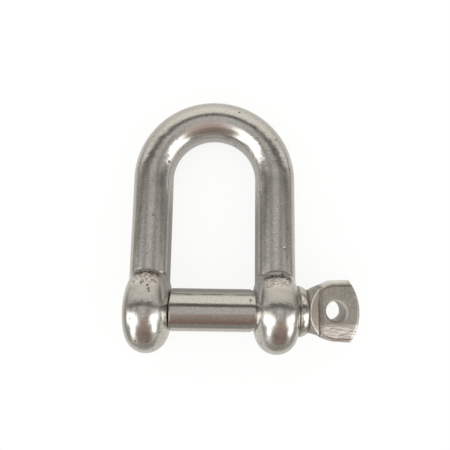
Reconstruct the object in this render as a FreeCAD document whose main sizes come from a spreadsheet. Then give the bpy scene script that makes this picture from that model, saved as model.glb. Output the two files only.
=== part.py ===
import FreeCAD, Part
import os

import Sketcher
from FreeCAD import Rotation, Vector

# A screw-pin D shackle, lying on a table.
#
# Frame: the origin is on the pin's axis, midway between the two eyes. +X runs along the pin to its flat
# head, +Y points from the pin to the crown and +Z is up. The eyes are thicker than the bar, so the
# shackle leans down a little towards its crown, until the crown touches the table that the eyes rest on.
#
# The nodes are the bent body with its two eyes, the screw pin, and the collar of the pin. On a real
# shackle the collar is one piece with the pin. It is round, so here it is a ring of its own that travels
# with the pin without turning: the ring carries the screw's travel, and the pin turns inside it.

DIMENSIONS = (
    ("bar_radius", 4.85, "round bar of the legs and the crown"),
    ("leg_spread", 30.1, "between the centre lines of the legs"),
    ("crown_height", 31.8, "from the pin's axis to the centre of the crown's arc"),
    ("eye_radius", 10.0, "outside of each eye, about the pin's axis"),
    ("eye_rim_radius", 4.9, "roundness of an eye's rim"),
    ("eye_dome_radius", 20.5, "gentle dome of an eye's two faces"),
    ("eye_blend_radius", 1.2, "forged blend between a leg and its eye"),
    ("plain_bore_radius", 5.25, "clearance hole in the eye beside the head"),
    ("seat_radius", 6.4, "spot face that the collar bears on"),
    ("seat_place", 19.8, "where the spot face lies along the pin"),
    ("mouth_chamfer", 0.4, "at both ends of both holes"),
    ("thread_pitch", 1.5, "coarse right-hand thread"),
    ("tapped_turns", 9, "of thread in the tapped eye, with a spare one at each end"),
    ("thread_crest_radius", 4.8, "outside of the pin's thread"),
    ("thread_root_radius", 3.9, "bottom of the pin's thread"),
    ("thread_crest_width", 0.19, "flat on top of the pin's thread"),
    ("tapped_crest_radius", 4.2, "hole before it is tapped"),
    ("tapped_root_radius", 4.95, "bottom of the tapped thread"),
    ("flank_play", 0.14, "along the pin, on each side of its thread"),
    ("flank_slope", 0.57735, "tangent of the 30 degree flank"),
    ("cutter_overlap", 0.1, "how far a thread's cutter starts clear of the metal"),
    ("pin_radius", 5.0, "shank between the eyes"),
    ("journal_radius", 4.8, "shank inside the plain eye"),
    ("tip_place", -20.4, "threaded end of the pin"),
    ("tip_chamfer", 0.9, "at the threaded end"),
    ("shoulder_place", -9.62, "where the shank ends beside the tapped eye"),
    ("shoulder_chamfer", 0.15, "at that end of the shank"),
    ("relief_length", 1.8, "undercut between the shank and the thread"),
    ("journal_place", 9.2, "where the shank narrows into the plain eye"),
    ("collar_place", 19.9, "face of the collar beside the spot face"),
    ("collar_length", 2.15, "along the pin"),
    ("collar_radius", 6.05, "at its widest"),
    ("collar_face_radius", 5.5, "beside the spot face"),
    ("collar_back_radius", 5.35, "beside the head"),
    ("collar_curve_radius", 3.2, "rounding of the rim towards the head"),
    ("collar_bore_radius", 4.0, "hole that the pin turns in"),
    ("collar_play", 0.03, "between the collar and the pin, on every side"),
    ("neck_radius", 4.85, "head beside the collar"),
    ("waist_half_height", 5.65, "head where its outline turns from hollow to full"),
    ("flare_half_height", 7.0, "head where its straight edges start"),
    ("corner_half_height", 7.2, "head at its end corners"),
    ("waist_length", 2.35, "from the collar to where the outline turns"),
    ("flare_length", 5.95, "from the collar to the straight edges"),
    ("corner_length", 10.05, "from the collar to the end corners"),
    ("neck_curve_radius", 6.0, "hollow curve of the outline beside the collar"),
    ("flare_curve_radius", 9.0, "full curve of the outline up to the straight edges"),
    ("nose_curve_radius", 12.0, "full curve of the blunt end"),
    ("plate_half_thickness", 2.7, "flat faces of the head"),
    ("facet_start_length", 0.35, "from the collar to the slope down to a flat face"),
    ("facet_end_length", 2.95, "from the collar to the foot of that slope"),
    ("neck_turning_length", 9.0, "run of the cone that rounds the neck, from the collar"),
    ("neck_turning_radius", 8.73, "of that cone at its wide end"),
    ("plate_edge_radius", 0.85, "rounding of the plate's edges"),
    ("plate_corner_radius", 0.7, "rounding of the head's end corners"),
    ("lanyard_hole_radius", 2.3, "through the head"),
    ("lanyard_hole_length", 6.75, "from the collar to the hole's centre"),
    ("head_offset", 0.35, "of the head's outline and hole, towards the crown"),
)

HEAD_START = "collar_place + collar_length"
START, END, CENTRE = 1, 2, 3
X_AXIS, Y_AXIS = -1, -2
NEAR = 0.01


def add_sheet(document):
    """The spreadsheet of driving dimensions, in millimetres: name, value and what it is."""
    sheet = document.addObject("Spreadsheet::Sheet", "Dimensions")
    for row, (name, size, meaning) in enumerate(DIMENSIONS, start=1):
        sheet.set(f"A{row}", name)
        sheet.set(f"B{row}", str(size))
        sheet.set(f"C{row}", meaning)
        sheet.setAlias(f"B{row}", name)
    document.recompute()
    return sheet


def on_sheet(expression):
    """An expression in the sheet's names, as another object has to write it."""
    names = {name for name, _, _ in DIMENSIONS}
    words = expression.replace("(", "( ").replace(")", " )").split()
    return " ".join(f"Dimensions.{word}" if word in names else word for word in words)


def measured(thing, expression):
    """What an expression in the sheet's names comes to, as a plain number."""
    size = thing.evalExpression(on_sheet(expression))
    return getattr(size, "Value", size)


def add_sketch(body, name, plane="XY_Plane"):
    """An empty sketch on one of the body's origin planes."""
    sketch = body.newObject("Sketcher::SketchObject", name)
    support = next(feature for feature in body.Origin.OriginFeatures if feature.Role == plane)
    sketch.AttachmentSupport = [(support, "")]
    sketch.MapMode = "FlatFace"
    return sketch


def size_by_sheet(sketch, kind, *place_and_expression):
    """A dimension of the sketch that follows the sheet."""
    *place, expression = place_and_expression
    size = measured(sketch, expression)
    index = sketch.addConstraint(Sketcher.Constraint(kind, *place, size))
    sketch.setExpression(f"Constraints[{index}]", on_sheet(expression))


def place_by_sheet(sketch, curve, point, across, up):
    """Put a curve's point at a place, given as two expressions. "0" is on an axis."""
    if across == "0":
        sketch.addConstraint(Sketcher.Constraint("PointOnObject", curve, point, Y_AXIS))
    else:
        size_by_sheet(sketch, "DistanceX", curve, point, across)
    if up == "0":
        sketch.addConstraint(Sketcher.Constraint("PointOnObject", curve, point, X_AXIS))
    else:
        size_by_sheet(sketch, "DistanceY", curve, point, up)


def arc_between(start, end, radius):
    """The shorter arc from start to end. It bulges to the left of that way for a positive radius."""
    chord = end - start
    leftwards = Vector(-chord.y, chord.x, 0).normalize()
    half = chord.Length / 2
    rise = abs(radius) - (radius**2 - half**2) ** 0.5
    middle = (start + end) / 2 + leftwards * (rise if radius > 0 else -rise)
    return Part.Arc(start, middle, end)


def end_at(sketch, curve, place):
    """Which end of a curve lies at a place."""
    return START if sketch.getPoint(curve, START).isEqual(place, 1e-6) else END


def draw_outline(sketch, corners):
    """A closed outline. A corner is (across, up), or (across, up, radius) before an arc."""
    places = [Vector(measured(sketch, c[0]), measured(sketch, c[1]), 0) for c in corners]
    count = len(corners)
    first = sketch.GeometryCount
    for index, corner in enumerate(corners):
        following = places[(index + 1) % count]
        curve = Part.LineSegment(places[index], following)
        if len(corner) == 3:
            curve = arc_between(places[index], following, measured(sketch, corner[2]))
        sketch.addGeometry(curve)
    for index, corner in enumerate(corners):
        curve = first + index
        before = first + (index - 1) % count
        start = end_at(sketch, curve, places[index])
        joint = (before, end_at(sketch, before, places[index]), curve, start)
        sketch.addConstraint(Sketcher.Constraint("Coincident", *joint))
        place_by_sheet(sketch, curve, start, corner[0], corner[1])
        if len(corner) == 3:
            size_by_sheet(sketch, "Radius", curve, f"abs( {corner[2]} )")


def add_revolution(body, name, sketch, kind="PartDesign::Revolution"):
    """Turn a sketch about the pin's axis."""
    turned = body.newObject(kind, name)
    turned.Profile = sketch
    turned.ReferenceAxis = (sketch, ["H_Axis"])
    turned.Angle = 360
    body.Document.recompute()
    return turned


def add_bore(body, name, plane, radius, reverse):
    """A round hole along X, from the middle of the shackle outwards."""
    sketch = add_sketch(body, name + "Circle", plane)
    sketch.addGeometry(Part.Circle(Vector(0, 0, 0), Vector(0, 0, 1), measured(sketch, radius)))
    sketch.addConstraint(Sketcher.Constraint("Coincident", 0, CENTRE, X_AXIS, START))
    size_by_sheet(sketch, "Radius", 0, radius)
    return add_pocket(body, name, sketch, reverse)


def add_pocket(body, name, sketch, reverse=False, midplane=False):
    """Cut a sketch right through."""
    pocket = body.newObject("PartDesign::Pocket", name)
    pocket.Profile = sketch
    pocket.Type = "ThroughAll"
    pocket.Midplane = midplane
    pocket.Reversed = reverse
    body.Document.recompute()
    return pocket


def edge_names(feature, chosen):
    """The names of a feature's edges that the function chosen picks, given the feature and an edge."""
    edges = enumerate(feature.Shape.Edges, start=1)
    return [f"Edge{number}" for number, edge in edges if chosen(feature, edge)]


def dress_edges(body, name, kind, base, size, chosen):
    """Fillet or chamfer the edges of base that the function chosen picks. kind is "Fillet" or "Chamfer"."""
    dressed = body.newObject("PartDesign::" + kind, name)
    dressed.Base = (base, edge_names(base, chosen))
    dressed.setExpression("Radius" if kind == "Fillet" else "Size", on_sheet(size))
    body.Document.recompute()
    return dressed


def add_thread(body, name, corners, length):
    """Cut a helical groove of the given section about the pin's axis, towards +X."""
    section = add_sketch(body, name + "Section")
    draw_outline(section, corners)
    groove = body.newObject("PartDesign::SubtractiveHelix", name)
    groove.Profile = section
    groove.ReferenceAxis = (section, ["H_Axis"])
    groove.Mode = "pitch-height-angle"
    groove.setExpression("Pitch", on_sheet("thread_pitch"))
    groove.setExpression("Height", on_sheet(length))
    body.Document.recompute()
    return groove


def add_body(document, name, label):
    """A body that leans down with the whole shackle, about the pin's axis."""
    body = document.addObject("PartDesign::Body", name)
    body.Label = label
    body.Placement.Rotation = Rotation(Vector(-1, 0, 0), 1)
    lean = "asin( ( eye_radius - bar_radius ) / ( crown_height + leg_spread / 2 ) )"
    body.setExpression(".Placement.Rotation.Angle", on_sheet(lean))
    document.recompute()
    return body


def draw_bar_line(sketch):
    """The centre line of the bar: up one leg, round the crown and down the other leg."""
    half = measured(sketch, "leg_spread / 2")
    rise = measured(sketch, "crown_height")
    sketch.addGeometry(Part.LineSegment(Vector(-half, 0, 0), Vector(-half, rise, 0)))
    sketch.addGeometry(Part.Arc(Vector(half, rise, 0), Vector(0, rise + half, 0), Vector(-half, rise, 0)))
    sketch.addGeometry(Part.LineSegment(Vector(half, rise, 0), Vector(half, 0, 0)))
    left, crown, right = 0, 1, 2
    sketch.addConstraint(
        [
            Sketcher.Constraint("Tangent", left, END, crown, END),
            Sketcher.Constraint("Tangent", right, START, crown, START),
            Sketcher.Constraint("Vertical", left),
            Sketcher.Constraint("PointOnObject", left, START, X_AXIS),
            Sketcher.Constraint("PointOnObject", right, END, X_AXIS),
        ]
    )
    place_by_sheet(sketch, crown, CENTRE, "0", "crown_height")
    size_by_sheet(sketch, "Radius", crown, "leg_spread / 2")


def draw_eye(sketch, side):
    """Half the section of an eye, on the side away from its leg: two domed faces and a round rim.

    side is -1 for the tapped eye and 1 for the plain one.
    """
    middle = f"{side} * leg_spread / 2"
    rim_height = "-1 * ( eye_radius - eye_rim_radius )"
    centre = Vector(measured(sketch, middle), measured(sketch, rim_height), 0)
    dome = measured(sketch, "eye_dome_radius")
    rim = measured(sketch, "eye_rim_radius")
    offset = ((dome - rim) ** 2 - centre.y**2) ** 0.5
    half = dome - offset
    low = Vector(centre.x - half, 0, 0)
    high = Vector(centre.x + half, 0, 0)
    to_high = Vector(offset, centre.y, 0).normalize() * rim
    rim_high = centre + to_high
    rim_low = centre + Vector(-to_high.x, to_high.y, 0)
    sketch.addGeometry(Part.LineSegment(low, high))
    sketch.addGeometry(arc_between(high, rim_high, dome))
    sketch.addGeometry(Part.Arc(rim_high, centre - Vector(0, rim, 0), rim_low))
    sketch.addGeometry(arc_between(rim_low, low, dome))
    axis, outer, round_rim, inner = 0, 1, 2, 3
    joints = (
        ("Coincident", axis, outer, high),
        ("Tangent", outer, round_rim, rim_high),
        ("Tangent", round_rim, inner, rim_low),
        ("Coincident", inner, axis, low),
    )
    for kind, one, other, place in joints:
        ends = (one, end_at(sketch, one, place), other, end_at(sketch, other, place))
        sketch.addConstraint(Sketcher.Constraint(kind, *ends))
    for curve, point in ((axis, START), (axis, END), (outer, CENTRE), (inner, CENTRE)):
        sketch.addConstraint(Sketcher.Constraint("PointOnObject", curve, point, X_AXIS))
    size_by_sheet(sketch, "Radius", outer, "eye_dome_radius")
    size_by_sheet(sketch, "Radius", inner, "eye_dome_radius")
    size_by_sheet(sketch, "Radius", round_rim, "eye_rim_radius")
    place_by_sheet(sketch, round_rim, CENTRE, middle, rim_height)


def is_mouth(body, edge):
    """Whether an edge goes round the end of a hole in an eye."""
    box = edge.BoundBox
    radii = [measured(body, name) for name in ("plain_bore_radius", "tapped_crest_radius")]
    return box.XLength < NEAR and min(abs(box.YLength / 2 - radius) for radius in radii) < NEAR


def joins_leg_and_eye(body, edge):
    """Whether an edge is where a leg runs into its eye, between the pin's axis and the crown."""
    box = edge.BoundBox
    between = box.YMin > NEAR and box.YMax < measured(body, "crown_height") - NEAR
    return between and isinstance(edge.Curve, Part.BSplineCurve)


def make_shackle_body(document):
    """The forged body: a bar bent to a D, with a tapped eye at -X and a plain eye at +X."""
    body = add_body(document, "ShackleBody", "shackle_body")
    line = add_sketch(body, "BarLine")
    draw_bar_line(line)
    section = add_sketch(body, "BarSection", "XZ_Plane")
    circle = Part.Circle(Vector(-measured(section, "leg_spread / 2"), 0, 0), Vector(0, 0, 1), 1)
    section.addGeometry(circle)
    place_by_sheet(section, 0, CENTRE, "-1 * leg_spread / 2", "0")
    size_by_sheet(section, "Radius", 0, "bar_radius")
    document.recompute()
    bar = body.newObject("PartDesign::AdditivePipe", "Bar")
    bar.Profile = section
    bar.Spine = (line, ["Edge1", "Edge2", "Edge3"])
    document.recompute()
    for name, side in (("TappedEye", -1), ("PlainEye", 1)):
        eye_section = add_sketch(body, name + "Section")
        draw_eye(eye_section, side)
        eye = add_revolution(body, name, eye_section)
    dress_edges(body, "EyeBlends", "Fillet", eye, "eye_blend_radius", joins_leg_and_eye)
    add_bore(body, "PlainBore", "YZ_Plane", "plain_bore_radius", True)
    add_bore(body, "TappedBore", "YZ_Plane", "tapped_crest_radius", False)
    seat = add_sketch(body, "SeatSection")
    far = "seat_place + eye_radius"
    corners = (("seat_place", "0"), (far, "0"), (far, "seat_radius"), ("seat_place", "seat_radius"))
    draw_outline(seat, corners)
    seat = add_revolution(body, "Seat", seat, "PartDesign::Groove")
    dress_edges(body, "Mouths", "Chamfer", seat, "mouth_chamfer", is_mouth)
    add_thread(body, "TappedThread", section_of_tapped_groove(), "tapped_turns * thread_pitch")
    return body


def section_of_shank(sketch):
    """Half the section of the pin's turned length: thread blank, shank, journals and shoulders."""
    end = HEAD_START + " + collar_play"
    journal_start = "collar_place - collar_play"
    journal_radius = "collar_bore_radius - collar_play"
    relief_start = "shoulder_place - relief_length"
    chamfered_radius = "pin_radius - shoulder_chamfer"
    corners = (
        ("tip_place", "0"),
        (end, "0"),
        (end, journal_radius),
        (journal_start, journal_radius),
        (journal_start, "journal_radius"),
        ("journal_place", "journal_radius"),
        ("journal_place", "pin_radius"),
        ("shoulder_place + shoulder_chamfer", "pin_radius"),
        ("shoulder_place", chamfered_radius),
        ("shoulder_place", "thread_root_radius"),
        (relief_start, "thread_root_radius"),
        (relief_start, "thread_crest_radius"),
        ("tip_place + tip_chamfer", "thread_crest_radius"),
        ("tip_place", "thread_crest_radius - tip_chamfer"),
    )
    draw_outline(sketch, corners)


def outline_of_head(sketch):
    """The head seen from above: neck, flare, straight edges and a blunt nose."""
    start = HEAD_START + " + collar_play"
    waist = HEAD_START + " + waist_length"
    flare = HEAD_START + " + flare_length"
    corner = HEAD_START + " + corner_length"
    corners = (
        (start, "-1 * neck_radius", "neck_curve_radius"),
        (waist, "head_offset - waist_half_height", "-1 * flare_curve_radius"),
        (flare, "head_offset - flare_half_height"),
        (corner, "head_offset - corner_half_height", "-1 * nose_curve_radius"),
        (corner, "head_offset + corner_half_height"),
        (flare, "head_offset + flare_half_height", "-1 * flare_curve_radius"),
        (waist, "head_offset + waist_half_height", "neck_curve_radius"),
        (start, "neck_radius"),
    )
    draw_outline(sketch, corners)


def section_of_flat(sketch, side):
    """The metal taken off one face of the head, seen along Y. side is 1 above the plate and -1 below."""
    neck = f"{side} * neck_radius"
    plate = f"{side} * plate_half_thickness"
    beyond = HEAD_START + " + 2 * corner_length"
    corners = (
        (HEAD_START + " + facet_start_length", neck),
        (HEAD_START + " + facet_end_length", plate),
        (beyond, plate),
        (beyond, neck),
    )
    draw_outline(sketch, corners)


def section_of_neck_turning(sketch):
    """The metal outside a cone that makes the head round where it meets the collar."""
    corners = (
        (HEAD_START, "neck_radius"),
        (HEAD_START + " + neck_turning_length", "neck_turning_radius"),
        (HEAD_START, "neck_turning_radius"),
    )
    draw_outline(sketch, corners)


def section_of_tapped_groove():
    """Corners of the groove in the tapped eye that the pin's thread runs in."""
    root = "thread_crest_width / 2 + flank_play"
    root += " - ( tapped_root_radius - thread_crest_radius ) * flank_slope"
    mouth_radius = "tapped_crest_radius - cutter_overlap"
    mouth = f"thread_crest_width / 2 + flank_play + ( thread_crest_radius - {mouth_radius} ) * flank_slope"
    middle = "tip_place - 3 * thread_pitch / 2"
    return (
        (f"{middle} - ( {mouth} )", mouth_radius),
        (f"{middle} + {mouth}", mouth_radius),
        (f"{middle} + {root}", "tapped_root_radius"),
        (f"{middle} - ( {root} )", "tapped_root_radius"),
    )


def section_of_pin_groove():
    """Corners of the groove between two turns of the pin's thread, half a pitch off the thread's crest."""
    root = "( thread_pitch - thread_crest_width ) / 2"
    root += " - ( thread_crest_radius - thread_root_radius ) * flank_slope"
    top = "( thread_pitch - thread_crest_width ) / 2 + cutter_overlap * flank_slope"
    middle = "tip_place - thread_pitch"
    outside = "thread_crest_radius + cutter_overlap"
    return (
        (f"{middle} - ( {root} )", "thread_root_radius"),
        (f"{middle} + {root}", "thread_root_radius"),
        (f"{middle} + {top}", outside),
        (f"{middle} - ( {top} )", outside),
    )


def is_head_corner(head, edge):
    """Whether an edge of the head stands upright at one of its end corners."""
    corner = measured(head, HEAD_START + " + corner_length")
    return all(abs(vertex.X - corner) < NEAR for vertex in edge.Vertexes) and edge.BoundBox.YLength < NEAR


def is_plate_edge(head, edge):
    """Whether an edge lies round the outline of the plate, on either face."""
    half = measured(head, "plate_half_thickness")
    on_a_face = all(abs(abs(vertex.Z) - half) < NEAR for vertex in edge.Vertexes)
    return on_a_face and edge.BoundBox.ZLength < NEAR and edge.BoundBox.XLength > NEAR


def make_screw_pin(document):
    """The pin: threaded end, shank, journal for the collar and a flat head with a lanyard hole."""
    body = add_body(document, "ScrewPin", "screw_pin")
    shank = add_sketch(body, "ShankSection")
    section_of_shank(shank)
    add_revolution(body, "Shank", shank)
    plan = add_sketch(body, "HeadOutline")
    outline_of_head(plan)
    head = body.newObject("PartDesign::Pad", "Head")
    head.Profile = plan
    head.Midplane = True
    head.setExpression("Length", on_sheet("2 * neck_radius"))
    document.recompute()
    dress_edges(body, "HeadCorners", "Fillet", head, "plate_corner_radius", is_head_corner)
    for name, side in (("UpperFlat", 1), ("LowerFlat", -1)):
        flat = add_sketch(body, name + "Section", "XZ_Plane")
        section_of_flat(flat, side)
        flat = add_pocket(body, name, flat, midplane=True)
    dress_edges(body, "PlateEdges", "Fillet", flat, "plate_edge_radius", is_plate_edge)
    turning = add_sketch(body, "NeckTurningSection")
    section_of_neck_turning(turning)
    add_revolution(body, "NeckTurning", turning, "PartDesign::Groove")
    hole = add_sketch(body, "LanyardHoleCircle")
    hole.addGeometry(Part.Circle(Vector(1, 1, 0), Vector(0, 0, 1), 1))
    place_by_sheet(hole, 0, CENTRE, HEAD_START + " + lanyard_hole_length", "head_offset")
    size_by_sheet(hole, "Radius", 0, "lanyard_hole_radius")
    add_pocket(body, "LanyardHole", hole, midplane=True)
    thread_run = "shoulder_place - relief_length / 2 - tip_place + thread_pitch"
    add_thread(body, "Thread", section_of_pin_groove(), thread_run)
    return body


def make_collar(document):
    """The pin's collar: a ring with a rounded rim that narrows towards the head."""
    body = add_body(document, "PinCollar", "pin_collar")
    section = add_sketch(body, "CollarSection")
    corners = (
        ("collar_place", "collar_bore_radius"),
        (HEAD_START, "collar_bore_radius"),
        (HEAD_START, "collar_back_radius", "-1 * collar_curve_radius"),
        ("collar_place + collar_length / 4", "collar_radius"),
        ("collar_place", "collar_face_radius"),
    )
    draw_outline(section, corners)
    add_revolution(body, "Collar", section)
    return body


def make_all():
    """The whole document."""
    document = FreeCAD.newDocument("DShackle")
    add_sheet(document)
    bodies = [make_shackle_body(document), make_screw_pin(document), make_collar(document)]
    document.recompute()
    return document, bodies


def check(document, bodies):
    """Stop if anything failed to build."""
    for item in document.Objects:
        if "Invalid" in item.State or "Error" in item.State:
            raise RuntimeError(f"{item.Label} did not build")
    for body in bodies:
        if body.Shape.isNull() or not body.Shape.isValid():
            raise RuntimeError(f"{body.Label} has no sound shape")


document, bodies = make_all()
check(document, bodies)
os.makedirs("parts", exist_ok=True)
for body in bodies:
    body.Shape.exportStep(f"parts/{body.Label}.step")
    print(body.Label, round(body.Shape.Volume, 1), body.Shape.BoundBox)
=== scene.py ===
import math

import bpy
from mathutils import Euler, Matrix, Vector


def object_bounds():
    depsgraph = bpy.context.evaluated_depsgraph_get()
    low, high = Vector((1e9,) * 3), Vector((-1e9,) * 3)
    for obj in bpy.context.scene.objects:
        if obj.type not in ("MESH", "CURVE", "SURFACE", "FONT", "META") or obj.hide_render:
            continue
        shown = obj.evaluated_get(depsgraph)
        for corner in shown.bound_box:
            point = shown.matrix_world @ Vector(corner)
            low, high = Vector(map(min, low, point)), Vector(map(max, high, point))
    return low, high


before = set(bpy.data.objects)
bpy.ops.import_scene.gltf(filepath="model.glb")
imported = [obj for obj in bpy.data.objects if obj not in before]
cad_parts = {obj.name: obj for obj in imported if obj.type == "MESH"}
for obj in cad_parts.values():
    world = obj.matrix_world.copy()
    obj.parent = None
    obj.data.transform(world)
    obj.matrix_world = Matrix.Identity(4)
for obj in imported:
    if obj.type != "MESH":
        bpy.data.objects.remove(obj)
cad_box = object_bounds()

MM = 0.001

# The camera: where it is, its turn in degrees, and its lens and sensor in millimetres.
CAMERA_PLACE = Vector((2.34, 16.82, 92.68)) * MM
CAMERA_TURN = (2.139, -0.315, 0.893)
CAMERA_LENS = 30.89
SENSOR_WIDTH = 36.0

# Sizes of the shackle, in millimetres.
LEG_PLACE = 15.05
CROWN_HEIGHT = 31.8
CREASE_HEIGHT = 8.95
HEAD_PLACE = 22.05
PLATE_PLACE = 25.0
HOLE_PLACE = (28.8, 0.35)
HOLE_RADIUS = 2.3
SHOULDER_PLACE = -9.62
NECK_RADIUS = 4.85
NECK_SLOPE = 0.431
PLATE_HALF_WIDTHS = (5.55, 6.35)

# Single pits on the body and the shank: where each one is, as X and Y, and its radius.
BODY_PITS = (
    (-15.6, 7.1, 0.3),
    (-15.1, 7.3, 0.22),
    (-14.1, 6.6, 0.25),
    (-13.8, 5.9, 0.3),
    (-13.6, 5.4, 0.22),
    (-10.93, 35.5, 0.3),
    (-16.75, 9.6, 0.3),
    (-15.2, 13.4, 0.2),
    (16.2, 25.3, 0.16),
)
SHANK_PITS = ((8.9, 3.0, 0.35),)

# The colour of the polished steel, and of what is on the body, the collar and the pin, with painted light
# and shade among them.
STEEL = (0.60, 0.588, 0.562)
FORGED_SKIN = (0.715, 0.69, 0.65, 1)
STAINED_SKIN = (0.56, 0.535, 0.50, 1)
# A painted highlight along the top of each eye's pale patch.
TOP_HIGHLIGHT = (0.98, 0.93, 0.88, 1)
# A painted sheen along the crown.
CROWN_SHEEN = (0.90, 0.88, 0.84, 1)
# Dirt, with painted shade, in the crease, the cracks and the pits.
DIRT_AND_SHADE = (0.10, 0.07, 0.05, 1)
CORNER_RUST = (0.20, 0.13, 0.09, 1)
# Painted light in the gap between the shank and the eye.
GAP_LIGHT = (0.95, 0.90, 0.84, 1)
SHANK_DIRT = (0.12, 0.09, 0.07, 1)

# The colours of the pin's satin head, of its wear, of painted light and shade on it, and of the rust on it.
DULL_SATIN = (0.44, 0.425, 0.385, 1)
PALE_SATIN = (0.52, 0.50, 0.455, 1)
SATIN_GRAIN = (0.32, 0.305, 0.27, 1)
SATIN_CLOUD = (0.66, 0.63, 0.58, 1)
PALE_SPECK = (0.74, 0.71, 0.66, 1)
DARK_SPECK = (0.25, 0.235, 0.21, 1)
BRUSHED = (0.80, 0.76, 0.71, 1)
# Painted glints in the brushed part of the head.
GLINT = (1.0, 0.96, 0.92, 1)
DARK_SCORE = (0.24, 0.20, 0.175, 1)
CONE_STEEL = (0.29, 0.285, 0.265, 1)
EDGE_SHADOW = (0.20, 0.17, 0.145, 1)
# Wear with a painted highlight on the head's edges.
WORN_EDGE_HIGHLIGHT = (0.88, 0.85, 0.80, 1)
# A painted highlight on the hole's far rim.
HOLE_RIM_HIGHLIGHT = (0.84, 0.81, 0.76, 1)
FACET_STEEL = (0.33, 0.28, 0.25, 1)
# Painted shade inside the hole.
BORE_SHADE = (0.20, 0.19, 0.17, 1)
HEAD_RUST = (0.19, 0.135, 0.10, 1)

# The light on the table and how much it glows by itself, and the light in a window.
TABLE_LIGHT = 1.22
TABLE_GLOW = 0.86
WINDOW = (3.0, 2.95, 2.85, 1.0)


class Nodes:
    """Builds a node tree with plain calls."""

    def __init__(self, tree):
        self.tree = tree
        tree.nodes.clear()

    def add(self, kind, inputs=(), **settings):
        """A node with its settings, and its inputs given as sockets or values, by name or number."""
        node = self.tree.nodes.new(kind)
        for name, setting in settings.items():
            setattr(node, name, setting)
        for name, value in dict(inputs).items():
            if isinstance(value, bpy.types.NodeSocket):
                self.tree.links.new(value, node.inputs[name])
            else:
                node.inputs[name].default_value = value
        return node

    def math(self, operation, *values):
        """The result of a Math node."""
        return self.add("ShaderNodeMath", enumerate(values), operation=operation).outputs[0]

    def ramp(self, value, low, high, start=0.0, end=1.0):
        """A smooth step from start at low to end at high."""
        inputs = {0: value, 1: low, 2: high, 3: start, 4: end}
        return self.add("ShaderNodeMapRange", inputs, interpolation_type="SMOOTHSTEP").outputs[0]

    def band(self, value, centre, half, soft):
        """1 where value is within half of centre, fading out over soft on both sides."""
        off = self.math("ABSOLUTE", self.math("SUBTRACT", value, centre))
        return self.ramp(off, half - soft / 2, half + soft / 2, 1.0, 0.0)

    def all_of(self, *masks):
        """The product of some masks."""
        product = masks[0]
        for mask in masks[1:]:
            product = self.math("MULTIPLY", product, mask)
        return product

    def any_of(self, *masks):
        """The largest of some masks."""
        largest = masks[0]
        for mask in masks[1:]:
            largest = self.math("MAXIMUM", largest, mask)
        return largest

    def sum_of(self, *values):
        """Values added up. A pair is a value and its weight."""
        total = 0.0
        for value in values:
            value, weight = value if isinstance(value, tuple) else (value, 1.0)
            total = self.math("MULTIPLY_ADD", value, weight, total)
        return total

    def length(self, *values):
        """The length of a vector, from its two or three parts."""
        parts = self.add("ShaderNodeCombineXYZ", enumerate(values)).outputs[0]
        return self.add("ShaderNodeVectorMath", {0: parts}, operation="LENGTH").outputs["Value"]

    def blend(self, factor, first, second):
        """A colour that goes from first to second."""
        inputs = {0: factor, 6: first, 7: second}
        return self.add("ShaderNodeMix", inputs, data_type="RGBA").outputs[2]

    def cover(self, colour, layers):
        """A colour with layers over it. Each is a mask, how strongly it covers, and a colour."""
        for mask, share, layer in layers:
            colour = self.blend(self.math("MULTIPLY", mask, share), colour, layer)
        return colour

    def fleck(self, colour, layers):
        """A colour with noise over it. Each layer is a noise, two levels, two covers, and a colour."""
        for noise, levels, covers, layer in layers:
            colour = self.blend(self.ramp(noise, *levels, *covers), colour, layer)
        return colour

    def noise(self, place, scale, detail=3.0, roughness=0.5, stretch=(1, 1, 1), shift=0.0):
        """Noise between 0 and 1. It is drawn out along an axis whose stretch is more than 1."""
        inputs = {"Location": (shift, shift, shift), "Scale": [scale / part for part in stretch]}
        mapped = self.add("ShaderNodeMapping", {0: place, **inputs}).outputs[0]
        inputs = {"Vector": mapped, "Scale": 1.0, "Detail": detail, "Roughness": roughness}
        return self.add("ShaderNodeTexNoise", inputs).outputs["Fac"]

    def finish(self, colour, roughness, height):
        """Bare metal of a colour and roughness. Its height is in millimetres."""
        bump = self.add("ShaderNodeBump", {"Strength": 1.0, "Distance": MM, "Height": height})
        inputs = {"Base Color": colour, "Roughness": roughness, "Normal": bump.outputs[0], "Metallic": 1.0}
        surface = self.add("ShaderNodeBsdfPrincipled", inputs)
        self.add("ShaderNodeOutputMaterial", {"Surface": surface.outputs[0]})


def new_material(name):
    """A material, its nodes, and the place on the object in millimetres, whole and as X, Y and Z."""
    material = bpy.data.materials.new(name)
    material.use_nodes = True
    nodes = Nodes(material.node_tree)
    metres = nodes.add("ShaderNodeTexCoord").outputs["Object"]
    scaled = nodes.add("ShaderNodeVectorMath", {0: metres, "Scale": 1 / MM}, operation="SCALE")
    place = scaled.outputs[0]
    parts = nodes.add("ShaderNodeSeparateXYZ", {0: place}).outputs
    return material, nodes, place, parts["X"], parts["Y"], parts["Z"]


def shade(srgb):
    """A linear colour, from the three 0-255 values that a screen shows it with."""
    linear = [((c / 255 + 0.055) / 1.055) ** 2.4 for c in srgb]
    return (*linear, 1.0)


def lit(srgb):
    """The light in the room that looks like a 0-255 colour in the steel."""
    return (*(light / tint for light, tint in zip(shade(srgb), STEEL)), 1.0)


def tint(share, colour=STEEL):
    """A lighter or darker steel."""
    return (*(min(part * share, 1.0) for part in colour), 1.0)


def set_camera():
    """The camera looks down on the shackle from close above."""
    camera = bpy.data.cameras.new("camera")
    camera.lens = CAMERA_LENS
    camera.sensor_width = SENSOR_WIDTH
    camera.clip_start = 0.005
    camera.clip_end = 20
    holder = bpy.data.objects.new("camera", camera)
    holder.location = CAMERA_PLACE
    holder.rotation_euler = Euler([math.radians(turn) for turn in CAMERA_TURN], "XYZ")
    bpy.context.scene.collection.objects.link(holder)
    bpy.context.scene.camera = holder


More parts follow.
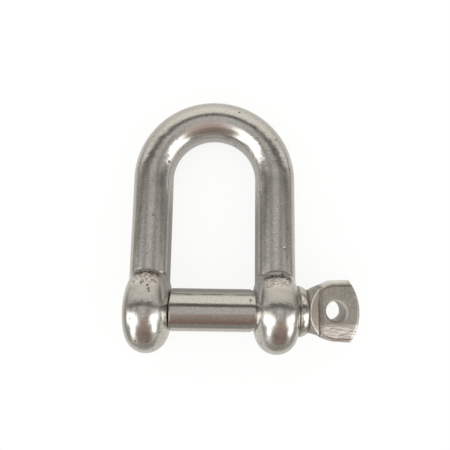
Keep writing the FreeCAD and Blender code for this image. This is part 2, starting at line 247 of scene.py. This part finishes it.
def soft_shape(nodes, across, along, centre, half_size, softness, turn=0.0, round_off=4.0):
    """A mask that is 1 inside a shape on the room's map: an oval for round_off 2, squarer for more."""
    angle = math.radians(turn)
    shifted = nodes.math("SUBTRACT", across, centre[0]), nodes.math("SUBTRACT", along, centre[1])
    reach = None
    turned = ((math.cos(angle), math.sin(angle)), (-math.sin(angle), math.cos(angle)))
    for weights, half in zip(turned, half_size):
        place = nodes.sum_of((shifted[0], weights[0] / half), (shifted[1], weights[1] / half))
        share = nodes.math("POWER", nodes.math("ABSOLUTE", place), round_off)
        reach = share if reach is None else nodes.math("ADD", reach, share)
    reach = nodes.math("POWER", reach, 1 / round_off)
    soft = softness / min(half_size)
    return nodes.ramp(reach, 1 - soft, 1 + soft, 1.0, 0.0)


def map_of_room(nodes):
    """Where a direction lies on the room's map: the angle from straight up, to the right and upwards.

    The map is in degrees. To the right is +X and upwards is +Y. A little noise makes its edges uneven.
    """
    direction = nodes.add("ShaderNodeTexCoord").outputs["Generated"]
    parts = nodes.add("ShaderNodeSeparateXYZ", {0: direction}).outputs
    tilt = nodes.math("DEGREES", nodes.math("ARCCOSINE", parts["Z"]))
    flat = nodes.math("MAXIMUM", nodes.length(parts["X"], parts["Y"], 0.0), 1e-4)
    scale = nodes.math("DIVIDE", tilt, flat)
    uneven = 5.0
    places = []
    for part, shift in ((parts["X"], 0.0), (parts["Y"], 7.0)):
        wobble = nodes.noise(direction, 3.0, 2.0, shift=shift)
        plain = nodes.math("MULTIPLY", part, scale)
        places.append(nodes.sum_of(plain, (wobble, uneven), -uneven / 2))
    return places


def paint_ceiling_and_wall(nodes, along, sides):
    """The striped grey ceiling, the pale wall beyond it, and the dark strip where the two meet."""
    colour = lit((146, 142, 135))
    stripes = (
        (0, 15, (168, 164, 156)),
        (28, 7, (130, 126, 120)),
        (47, 7, (151, 147, 141)),
        (67, 7, (112, 108, 102)),
        (88, 6, (136, 132, 123)),
    )
    for centre, half, tone in stripes:
        colour = nodes.blend(nodes.band(sides, centre, half, 1.6 * half), colour, lit(tone))

    over = nodes.math("SMOOTH_MAX", nodes.math("SUBTRACT", sides, 28.0), 0.0, 15.0)
    level = nodes.sum_of(along, (over, 0.34))
    wall = nodes.ramp(level, 41, 49)
    wall_colour = nodes.blend(nodes.ramp(sides, 45, 100), lit((209, 203, 190)), lit((180, 177, 170)))
    colour = nodes.blend(wall, colour, wall_colour)
    strip = nodes.band(level, 33.0, 8.0, 9.0)
    strip_colour = nodes.blend(nodes.ramp(sides, 35, 90), lit((80, 76, 71)), lit((116, 112, 105)))
    return nodes.blend(strip, colour, strip_colour)


def paint_person(nodes, across, along, sides, colour):
    """Someone dark against the low end of the ceiling, with two greyer steps at the very bottom."""
    low = nodes.ramp(along, -45, -62)
    colour = nodes.blend(low, colour, lit((160, 156, 148)))
    tone = nodes.ramp(along, -20, -66)
    person_colour = nodes.blend(tone, lit((144, 127, 117)), lit((116, 99, 89)))
    person = soft_shape(nodes, across, along, (8, -58), (38, 27), 7, round_off=2)
    neck = soft_shape(nodes, across, along, (8, -34), (27, 23), 7, round_off=2)
    colour = nodes.blend(nodes.any_of(person, neck), colour, person_colour)
    centred = nodes.ramp(sides, 62, 85, 1.0, 0.0)
    for start, end, tone in ((-74, -76, (140, 136, 127)), (-80, -83, (120, 117, 108))):
        foot = nodes.all_of(nodes.ramp(along, start, end), centred)
        colour = nodes.blend(foot, colour, lit(tone))
    return colour


def paint_windows(nodes, across, along, colour):
    """Two bright windows. Each is two shapes, and the right one has a notch."""
    windows = (
        ((-55, -18), (31, 15), 7, 0),
        ((-50, -43), (11, 17), 7, -8),
        ((64, -17), (25, 13), 7, 4),
        ((62, -42), (12, 14), 7, -25),
    )
    for centre, half_size, softness, turn in windows:
        window = soft_shape(nodes, across, along, centre, half_size, softness, turn, round_off=3)
        colour = nodes.blend(window, colour, WINDOW)
    notch = soft_shape(nodes, across, along, (76, -26), (6, 4), 4, 0, round_off=2)
    return nodes.blend(notch, colour, lit((165, 162, 155)))


def make_room():
    """The room that the steel mirrors: a pale wall, a grey ceiling, two windows and someone dark between.

    Only mirrored rays see the room. All others see plain white light.
    """
    world = bpy.data.worlds.new("room")
    world.use_nodes = True
    bpy.context.scene.world = world
    nodes = Nodes(world.node_tree)
    across, along = map_of_room(nodes)
    sides = nodes.math("ABSOLUTE", across)

    colour = paint_ceiling_and_wall(nodes, along, sides)
    for centre, turn in (((-50, 56), -33), ((49, 52), 31)):
        line = soft_shape(nodes, across, along, centre, (22, 2.5), 2.0, turn, round_off=2)
        colour = nodes.blend(nodes.math("MULTIPLY", line, 0.8), colour, lit((118, 114, 106)))
    colour = paint_person(nodes, across, along, sides, colour)
    colour = paint_windows(nodes, across, along, colour)

    seen = nodes.add("ShaderNodeLightPath").outputs
    mirrored = nodes.add("ShaderNodeBackground", {"Color": colour})
    plain = nodes.add("ShaderNodeBackground", {"Color": (1.0, 1.0, 1.0, 1.0), "Strength": TABLE_LIGHT})
    inputs = {0: seen["Is Glossy Ray"], 1: plain.outputs[0], 2: mirrored.outputs[0]}
    mix = nodes.add("ShaderNodeMixShader", inputs)
    nodes.add("ShaderNodeOutputWorld", {"Surface": mix.outputs[0]})


def make_floor():
    """A pale table under the shackle. In the steel it shows darker, with painted shade most of all inside
    the loop.
    """
    lowest = cad_box[0][2]
    side = 6.0
    mesh = bpy.data.meshes.new("table")
    corners = [(-side, -side, lowest), (side, -side, lowest), (side, side, lowest), (-side, side, lowest)]
    mesh.from_pydata(corners, [], [(0, 1, 2, 3)])
    table = bpy.data.objects.new("table", mesh)
    bpy.context.scene.collection.objects.link(table)
    material, nodes, place, x, y, _ = new_material("table_paint")
    colour = nodes.blend(nodes.noise(place, 0.04), (0.89, 0.89, 0.88, 1), (0.91, 0.91, 0.90, 1))
    paint = nodes.add("ShaderNodeBsdfPrincipled", {"Base Color": colour, "Roughness": 0.9})
    glow = nodes.add("ShaderNodeEmission", {"Color": (1.0, 1.0, 0.995, 1.0)})
    inputs = {0: TABLE_GLOW, 1: paint.outputs[0], 2: glow.outputs[0]}
    seen_plainly = nodes.add("ShaderNodeMixShader", inputs)
    beyond = nodes.math("MAXIMUM", nodes.math("SUBTRACT", y, CROWN_HEIGHT), 0.0)
    reach = nodes.length(x, beyond, 0.0)
    # Painted shade: in the steel, the table shows darker inside the loop.
    inside = nodes.all_of(nodes.ramp(reach, LEG_PLACE - 4, LEG_PLACE, 1.0, 0.0), nodes.ramp(y, -4, 2))
    far = nodes.any_of(nodes.ramp(nodes.math("ABSOLUTE", x), 45, 55), nodes.ramp(y, -55, -62))
    tone = nodes.blend(far, lit((183, 179, 170)), lit((130, 127, 117)))
    shaded_loop_tone = nodes.blend(nodes.ramp(y, 22, 34), lit((135, 132, 125)), lit((166, 163, 156)))
    tone = nodes.blend(inside, tone, shaded_loop_tone)
    mirrored = nodes.add("ShaderNodeEmission", {"Color": tone})
    seen = nodes.add("ShaderNodeLightPath").outputs
    inputs = {0: seen["Is Glossy Ray"], 1: seen_plainly.outputs[0], 2: mirrored.outputs[0]}
    mix = nodes.add("ShaderNodeMixShader", inputs)
    nodes.add("ShaderNodeOutputMaterial", {"Surface": mix.outputs[0]})
    mesh.materials.append(material)


def pits_at(nodes, x, y, pits, ragged):
    """A mask of small pits, given as (x, y, radius). ragged is noise that makes their edges uneven."""
    masks = []
    for across, up, radius in pits:
        off = nodes.length(nodes.math("SUBTRACT", x, across), nodes.math("SUBTRACT", y, up), 0.0)
        off = nodes.sum_of(off, (ragged, radius * 2.2), -1.1 * radius)
        masks.append(nodes.ramp(off, radius * 0.5, radius * 1.3, 1.0, 0.0))
    return nodes.any_of(*masks)


def stray_pits(nodes, place, spacing, share):
    """A mask of a few fine pits all over, spacing millimetres apart. share is how many cells have one."""
    inputs = {"Vector": place, "Scale": 1 / spacing}
    cells = nodes.add("ShaderNodeTexVoronoi", inputs)
    chosen = nodes.add("ShaderNodeSeparateColor", {0: cells.outputs["Color"]}).outputs[0]
    small = nodes.ramp(cells.outputs["Distance"], 0.05, 0.11, 1.0, 0.0)
    return nodes.all_of(small, nodes.ramp(chosen, share, share + 0.01, 1.0, 0.0))


def places_on_bar(nodes, x, y, z):
    """How far a place is from the middle, how far outside the bar's line, and where on a straight bar."""
    beyond = nodes.math("MAXIMUM", nodes.math("SUBTRACT", y, CROWN_HEIGHT), 0.0)
    sides = nodes.math("ABSOLUTE", x)
    off_line = nodes.math("SUBTRACT", nodes.length(x, beyond, 0.0), LEG_PLACE)
    round_crown = nodes.math("MULTIPLY", nodes.math("ARCTAN2", beyond, sides), LEG_PLACE)
    up_leg = nodes.math("ADD", nodes.math("MINIMUM", y, CROWN_HEIGHT), round_crown)
    along_bar = nodes.add("ShaderNodeCombineXYZ", {0: off_line, 1: up_leg, 2: z}).outputs[0]
    return sides, off_line, along_bar


def forging_marks_and_light(nodes, place, x, y, sides, mottle, jagged):
    """Masks at the top of each eye: a pale patch, its stains, a painted highlight along its top, painted
    shade just under the crease, and what is dark: dirt with painted shade in the crease, cracks and pits.
    """
    crackle = nodes.noise(place, 1.6, 4.0, 0.7, shift=12.0)
    off_leg = nodes.math("SUBTRACT", sides, LEG_PLACE)
    bow = nodes.math("MULTIPLY", nodes.math("MULTIPLY", off_leg, off_leg), 0.09)
    from_crease = nodes.sum_of(y, bow, (x, 0.016), (jagged, 2.0), -CREASE_HEIGHT - 1.0)
    near_top = nodes.ramp(nodes.math("ABSOLUTE", off_leg), 2.4, 3.7, 1.0, 0.0)
    broken = nodes.ramp(mottle, 0.38, 0.56, 0.25, 1.0)
    crease = nodes.all_of(nodes.band(from_crease, 0.0, 0.26, 0.3), near_top, broken)
    past_hollow = nodes.sum_of(from_crease, (nodes.ramp(x, -1.0, 1.0), -0.45))
    # Painted shade: a darker band just under the crease.
    painted_shade_under_crease = nodes.all_of(nodes.ramp(from_crease, -0.5, -0.1), nodes.ramp(past_hollow, 0.95, 0.6), near_top)

    low_edge = nodes.sum_of(y, (jagged, 1.6), -4.3)
    under_crease = nodes.ramp(from_crease, 0.0, 0.25, 1.0, 0.0)
    patch = nodes.all_of(nodes.ramp(low_edge, -0.6, 0.9), under_crease, near_top)
    stains = nodes.all_of(nodes.ramp(jagged, 0.44, 0.62), patch)
    # Painted highlight: a near-white band along the top of the patch, just under the crease.
    painted_top_highlight = nodes.all_of(nodes.band(from_crease, -1.5, 0.75, 0.8), near_top)

    cells = nodes.ramp(nodes.math("ABSOLUTE", nodes.math("SUBTRACT", crackle, 0.5)), 0.015, 0.055, 1.0, 0.0)
    cells = nodes.all_of(cells, nodes.ramp(jagged, 0.40, 0.52))
    upper = nodes.band(from_crease, -0.7, 1.2, 1.0)
    cracks = nodes.all_of(cells, patch, upper)
    pits = nodes.any_of(pits_at(nodes, x, y, BODY_PITS, jagged), stray_pits(nodes, place, 3.6, 0.96))
    # Dirt and painted shade: the crease, the cracks and the pits are darkened.
    dark = nodes.any_of(crease, nodes.math("MULTIPLY", cracks, 0.95), nodes.math("MULTIPLY", pits, 0.8))
    return patch, stains, painted_top_highlight, painted_shade_under_crease, dark


def unevenness_of_body(nodes, place, y, sides):
    """Long, shallow waves in the body, in millimetres: over the eyes, over the bends, and all over."""
    ears = nodes.sum_of(
        nodes.ramp(y, 1.6, 4.4, 0.0, -0.17),
        nodes.ramp(y, -9.5, -4.0, 0.0, -0.5),
        nodes.ramp(y, 5.0, 9.4, 0.0, 0.55),
    )
    bent = nodes.all_of(nodes.ramp(y, CROWN_HEIGHT, CROWN_HEIGHT + 4), nodes.ramp(sides, 6, 10))
    bent = nodes.any_of(bent, nodes.ramp(y, 2.0, -1.0, 0.0, 0.6))
    dents = nodes.all_of(bent, nodes.noise(place, 0.45, 2.0, shift=21.0))
    return nodes.sum_of(ears, (nodes.noise(place, 0.16, 2.0), 0.08), (dents, 0.1))


def make_body_steel():
    """Polished stainless steel, rough and pitted where each leg was forged on to its eye."""
    material, nodes, place, x, y, z = new_material("polished_steel")
    sides, off_line, along_bar = places_on_bar(nodes, x, y, z)
    cloud = nodes.noise(place, 0.3, 4.0)
    mottle = nodes.noise(place, 2.2, 4.0, 0.6)
    streaks = nodes.noise(along_bar, 1.6, 4.0, 0.6, stretch=(1, 14, 1))
    scratches = nodes.noise(along_bar, 5.5, 3.0, 0.6, stretch=(1, 24, 1), shift=6.0)
    jagged = nodes.noise(place, 1.3, 5.0, 0.75, shift=3.0)
    grain = nodes.noise(place, 5.0, 3.0, 0.7, shift=9.0)
    speckle = nodes.noise(place, 2.6, 3.0, 0.85, shift=15.0)

    marks = forging_marks_and_light(nodes, place, x, y, sides, mottle, jagged)
    patch, stains, painted_top_highlight, painted_shade_under_crease, dark = marks
    on_crown = nodes.ramp(y, CROWN_HEIGHT + 4, CROWN_HEIGHT + 9)
    # Painted sheen: a lighter band along the crown, just inside the bar's middle line.
    painted_crown_sheen = nodes.all_of(nodes.band(off_line, -2.05, 0.55, 0.6), on_crown)
    outer_crown = nodes.all_of(nodes.ramp(off_line, 0.5, 2.8), on_crown)

    colour = nodes.blend(cloud, tint(0.93), tint(1.06))
    colour = nodes.fleck(colour, (
        (streaks, (0.35, 0.7), (0.0, 0.35), tint(0.86)),
        (scratches, (0.5, 0.7), (0.0, 0.4), tint(0.75)),
        (speckle, (0.35, 0.5), (0.5, 0.0), tint(0.65)),
        (speckle, (0.52, 0.66), (0.0, 0.5), tint(1.45)),
        (mottle, (0.45, 0.75), (0.0, 0.25), tint(1.12)),
    ))
    colour = nodes.cover(colour, (
        (patch, 0.9, FORGED_SKIN),
        (stains, 0.6, STAINED_SKIN),
        # painted highlight along the top of each patch
        (painted_top_highlight, 0.7, TOP_HIGHLIGHT),
        # painted sheen along the crown
        (painted_crown_sheen, 0.6, CROWN_SHEEN),
        # painted shade just under the crease
        (painted_shade_under_crease, 0.85, tint(0.5)),
        # dirt and painted shade in the crease, cracks and pits
        (dark, 0.9, DIRT_AND_SHADE),
    ))
    polish = nodes.ramp(cloud, 0.3, 0.7, 0.13, 0.19)
    worked = (outer_crown, 0.1), (patch, 0.26), (dark, 0.3), (painted_shade_under_crease, 0.15)
    roughness = nodes.sum_of(polish, (streaks, 0.04), (mottle, 0.06), *worked)
    height = nodes.sum_of(
        unevenness_of_body(nodes, place, y, sides),
        (streaks, 0.006),
        (scratches, 0.002),
        (mottle, 0.008),
        (speckle, 0.003),
        (dark, -0.06),
        (nodes.math("MULTIPLY", patch, grain), 0.1),
    )
    nodes.finish(colour, roughness, height)
    return material


def make_collar_steel():
    """Turned and polished steel of the collar, with a brown trace of rust in its corner."""
    material, nodes, place, x, _, _ = new_material("collar_steel")
    mottle = nodes.noise(place, 2.0, 4.0, 0.6)
    rings = nodes.noise(place, 6.0, 3.0, stretch=(1, 12, 12))
    rust = nodes.ramp(nodes.sum_of(x, (mottle, 1.2)), HEAD_PLACE - 0.1, HEAD_PLACE + 0.7)
    colour = nodes.blend(mottle, tint(0.9), tint(1.08))
    colour = nodes.cover(colour, ((rust, 0.7, CORNER_RUST),))
    roughness = nodes.sum_of(0.10, (rings, 0.06), (rust, 0.3))
    height = nodes.sum_of((rings, 0.004), (nodes.noise(place, 0.5, 2.0), 0.03))
    nodes.finish(colour, roughness, height)
    return material


def paint_shank(nodes, x, thread, mottle, speckle):
    """The colour of the turned shank and its darker thread, with painted light where the gap shows it."""
    colour = nodes.blend(mottle, tint(0.78), tint(1.02))
    colour = nodes.fleck(colour, (
        (speckle, (0.54, 0.7), (0.0, 0.5), tint(1.5)),
        (speckle, (0.34, 0.48), (0.3, 0.0), tint(0.6)),
    ))
    # Painted light: the shank is lightened where the gap by the shoulder shows it.
    painted_gap_light = nodes.band(x, SHOULDER_PLACE - 0.4, 0.45, 0.1)
    return nodes.cover(colour, ((thread, 1.0, tint(0.62)), (painted_gap_light, 1.0, GAP_LIGHT)))


def head_edges(nodes, x, y, z, ragged):
    """Masks of the head's edges: the cone's side, a shadow inside the edge, edges with wear and a painted
    highlight, and the flank.
    """
    past_collar = nodes.math("SUBTRACT", x, HEAD_PLACE)
    cone = nodes.math("MULTIPLY_ADD", past_collar, NECK_SLOPE, NECK_RADIUS)
    inside_rim = nodes.math("SUBTRACT", cone, nodes.length(y, z, 0.0))
    uneven_rim = nodes.sum_of(inside_rim, (ragged, 0.3), -0.15)
    before_plate = nodes.ramp(x, PLATE_PLACE + 0.8, PLATE_PLACE + 2.5, 1.0, 0.0)
    past_corner = nodes.ramp(past_collar, 0.25, 0.4)
    # Painted highlight: a light band just within the cone's rim.
    c_rim_highlight = nodes.all_of(nodes.band(uneven_rim, 0.28, 0.18, 0.2), past_corner, before_plate)
    cone_side = nodes.all_of(nodes.ramp(inside_rim, 0.14, 0.05), before_plate)
    flank = nodes.ramp(x, PLATE_PLACE - 0.05, PLATE_PLACE + 0.1, 1.0, 0.0)
    flank = nodes.math("SUBTRACT", flank, nodes.any_of(c_rim_highlight, cone_side))
    flank = nodes.ramp(flank, 0.0, 1.0, 0.0, 0.62)

    off_middle = nodes.math("ABSOLUTE", nodes.math("SUBTRACT", y, HOLE_PLACE[1]))
    outline = nodes.ramp(x, PLATE_PLACE, PLATE_PLACE + 4, *PLATE_HALF_WIDTHS)
    from_edge = nodes.math("SUBTRACT", nodes.sum_of(off_middle, (ragged, 0.3), -0.15), outline)
    # Wear with a painted highlight along the plate's outline.
    at_edge = nodes.all_of(nodes.ramp(from_edge, -0.1, 0.25), nodes.ramp(x, PLATE_PLACE, PLATE_PLACE + 0.8))
    on_plate = nodes.ramp(x, PLATE_PLACE, PLATE_PLACE + 1.5)
    shadow = nodes.all_of(nodes.band(from_edge, -0.32, 0.2, 0.25), on_plate)
    return cone_side, shadow, nodes.any_of(at_edge, c_rim_highlight), flank


def round_the_hole(nodes, x, y):
    """Masks of a painted highlight on the hole's far rim, and of painted shade on the steel inside the hole.
    """
    off_hole = nodes.math("SUBTRACT", x, HOLE_PLACE[0]), nodes.math("SUBTRACT", y, HOLE_PLACE[1])
    from_hole = nodes.length(*off_hole, 0.0)
    far_side = nodes.ramp(nodes.sum_of(x, y), sum(HOLE_PLACE) - 0.15, sum(HOLE_PLACE) + 1.85)
    # Painted highlight: the rim is lightened on the hole's far side only.
    rim = nodes.all_of(nodes.band(from_hole, HOLE_RADIUS + 0.3, 0.35, 0.4), far_side)
    # Painted shade: the steel inside the hole is darkened.
    return rim, nodes.ramp(from_hole, HOLE_RADIUS + 0.12, HOLE_RADIUS + 0.02)


def rust_on_head(nodes, x, y, cloud, ragged, grain):
    """Masks of the stain across the near end of the plate, and of all the brown on the head."""
    stain = nodes.band(nodes.sum_of(x, (ragged, 0.9)), PLATE_PLACE + 0.45, 0.24, 0.25)
    below_corner = nodes.ramp(nodes.sum_of(y, (cloud, 3.0)), 5.0, 4.0)
    stain = nodes.all_of(stain, below_corner, nodes.ramp(grain, 0.3, 0.5, 0.5, 1.0))
    near_stain = nodes.band(nodes.sum_of(x, (grain, 1.2)), PLATE_PLACE + 1.0, 0.5, 0.8)
    past_collar = nodes.math("SUBTRACT", x, HEAD_PLACE)
    neck = nodes.ramp(nodes.sum_of(past_collar, (ragged, 0.6)), 0.95, 0.45)
    parts = (stain, 0.85), (neck, 0.85), (near_stain, 0.35)
    brown = nodes.any_of(*(nodes.math("MULTIPLY", mask, share) for mask, share in parts))
    return stain, brown


def make_pin_steel():
    """The pin's steel: a turned and polished shank, a darker thread, and a satin head with wear on its
    edges, painted highlights on its edges, glints and hole rim, and painted shade in its hole.
    """
    material, nodes, place, x, y, z = new_material("pin_steel")
    cloud = nodes.noise(place, 0.5, 4.0)
    mottle = nodes.noise(place, 2.4, 4.0, 0.65)
    rings = nodes.noise(place, 5.0, 3.0, stretch=(1, 14, 14))
    brushed = nodes.noise(place, 3.2, 4.0, 0.65, stretch=(7, 1, 1))
    grain = nodes.noise(place, 4.5, 3.0, 0.7, shift=5.0)
    ragged = nodes.noise(place, 1.2, 3.0, 0.6, shift=2.0)
    speckle = nodes.noise(place, 3.4, 2.0, 0.8, shift=15.0)
    head = nodes.ramp(x, HEAD_PLACE - 0.05, HEAD_PLACE + 0.05)
    thread = nodes.ramp(x, SHOULDER_PLACE - 0.2, SHOULDER_PLACE, 1.0, 0.0)
    low_third = nodes.ramp(nodes.sum_of(y, (ragged, 1.0)), -1.6, -2.6)
    # Painted glints: near-white flecks along the brushed streaks.
    painted_glints = nodes.all_of(nodes.ramp(brushed, 0.46, 0.56), low_third)
    scores = nodes.all_of(nodes.ramp(brushed, 0.41, 0.35), low_third)
    cone_side, shadow, worn_and_highlit_edges, flank = head_edges(nodes, x, y, z, ragged)
    rim, bore_shade = round_the_hole(nodes, x, y)
    stain, brown = rust_on_head(nodes, x, y, cloud, ragged, grain)

    satin = nodes.blend(nodes.ramp(cloud, 0.3, 0.7), DULL_SATIN, PALE_SATIN)
    satin = nodes.fleck(satin, (
        (grain, (0.4, 0.65), (0.0, 0.75), SATIN_GRAIN),
        (ragged, (0.5, 0.75), (0.0, 0.5), SATIN_CLOUD),
        (speckle, (0.52, 0.66), (0.0, 0.5), PALE_SPECK),
        (speckle, (0.34, 0.48), (0.45, 0.0), DARK_SPECK),
    ))
    satin = nodes.cover(satin, (
        (low_third, 0.75, BRUSHED),
        # painted glints
        (painted_glints, 1.0, GLINT),
        (scores, 0.85, DARK_SCORE),
        (cone_side, 0.7, CONE_STEEL),
        (shadow, 0.75, EDGE_SHADOW),
        # wear and painted highlight on the edges
        (worn_and_highlit_edges, 0.8, WORN_EDGE_HIGHLIGHT),
        # painted highlight on the hole's far rim
        (rim, 0.6, HOLE_RIM_HIGHLIGHT),
        (flank, 1.0, FACET_STEEL),
        # painted shade inside the hole
        (bore_shade, 0.7, BORE_SHADE),
        (brown, 1.0, HEAD_RUST),
    ))
    colour = nodes.blend(head, paint_shank(nodes, x, thread, mottle, speckle), satin)
    pits = pits_at(nodes, x, y, SHANK_PITS, ragged)
    colour = nodes.cover(colour, ((pits, 0.7, SHANK_DIRT),))

    turned = nodes.sum_of(nodes.ramp(cloud, 0.3, 0.7, 0.09, 0.15), (mottle, 0.03), (thread, 0.2))
    rough = nodes.sum_of(nodes.ramp(cloud, 0.3, 0.7, 0.36, 0.46), (worn_and_highlit_edges, -0.1), (low_third, -0.04))
    roughness = nodes.add("ShaderNodeMix", {0: head, 2: turned, 3: rough})
    shank_height = nodes.sum_of((rings, 0.003), (mottle, 0.006), (nodes.noise(place, 0.3, 2.0), 0.03))
    ridges = nodes.math("MULTIPLY", brushed, nodes.sum_of(0.3, (low_third, 1.6)))
    head_height = nodes.sum_of((ridges, 0.07), (grain, 0.05), (cloud, 0.06), (stain, -0.10))
    height = nodes.sum_of(shank_height, nodes.math("MULTIPLY", head, head_height))
    nodes.finish(colour, roughness.outputs[0], height)
    return material


def wear(node, material):
    """Give a CAD node a material."""
    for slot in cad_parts[node].material_slots:
        slot.material = material


set_camera()
make_room()
make_floor()
wear("shackle_body", make_body_steel())
wear("pin_collar", make_collar_steel())
wear("screw_pin", make_pin_steel())
bpy.context.scene.view_settings.view_transform = "Standard"
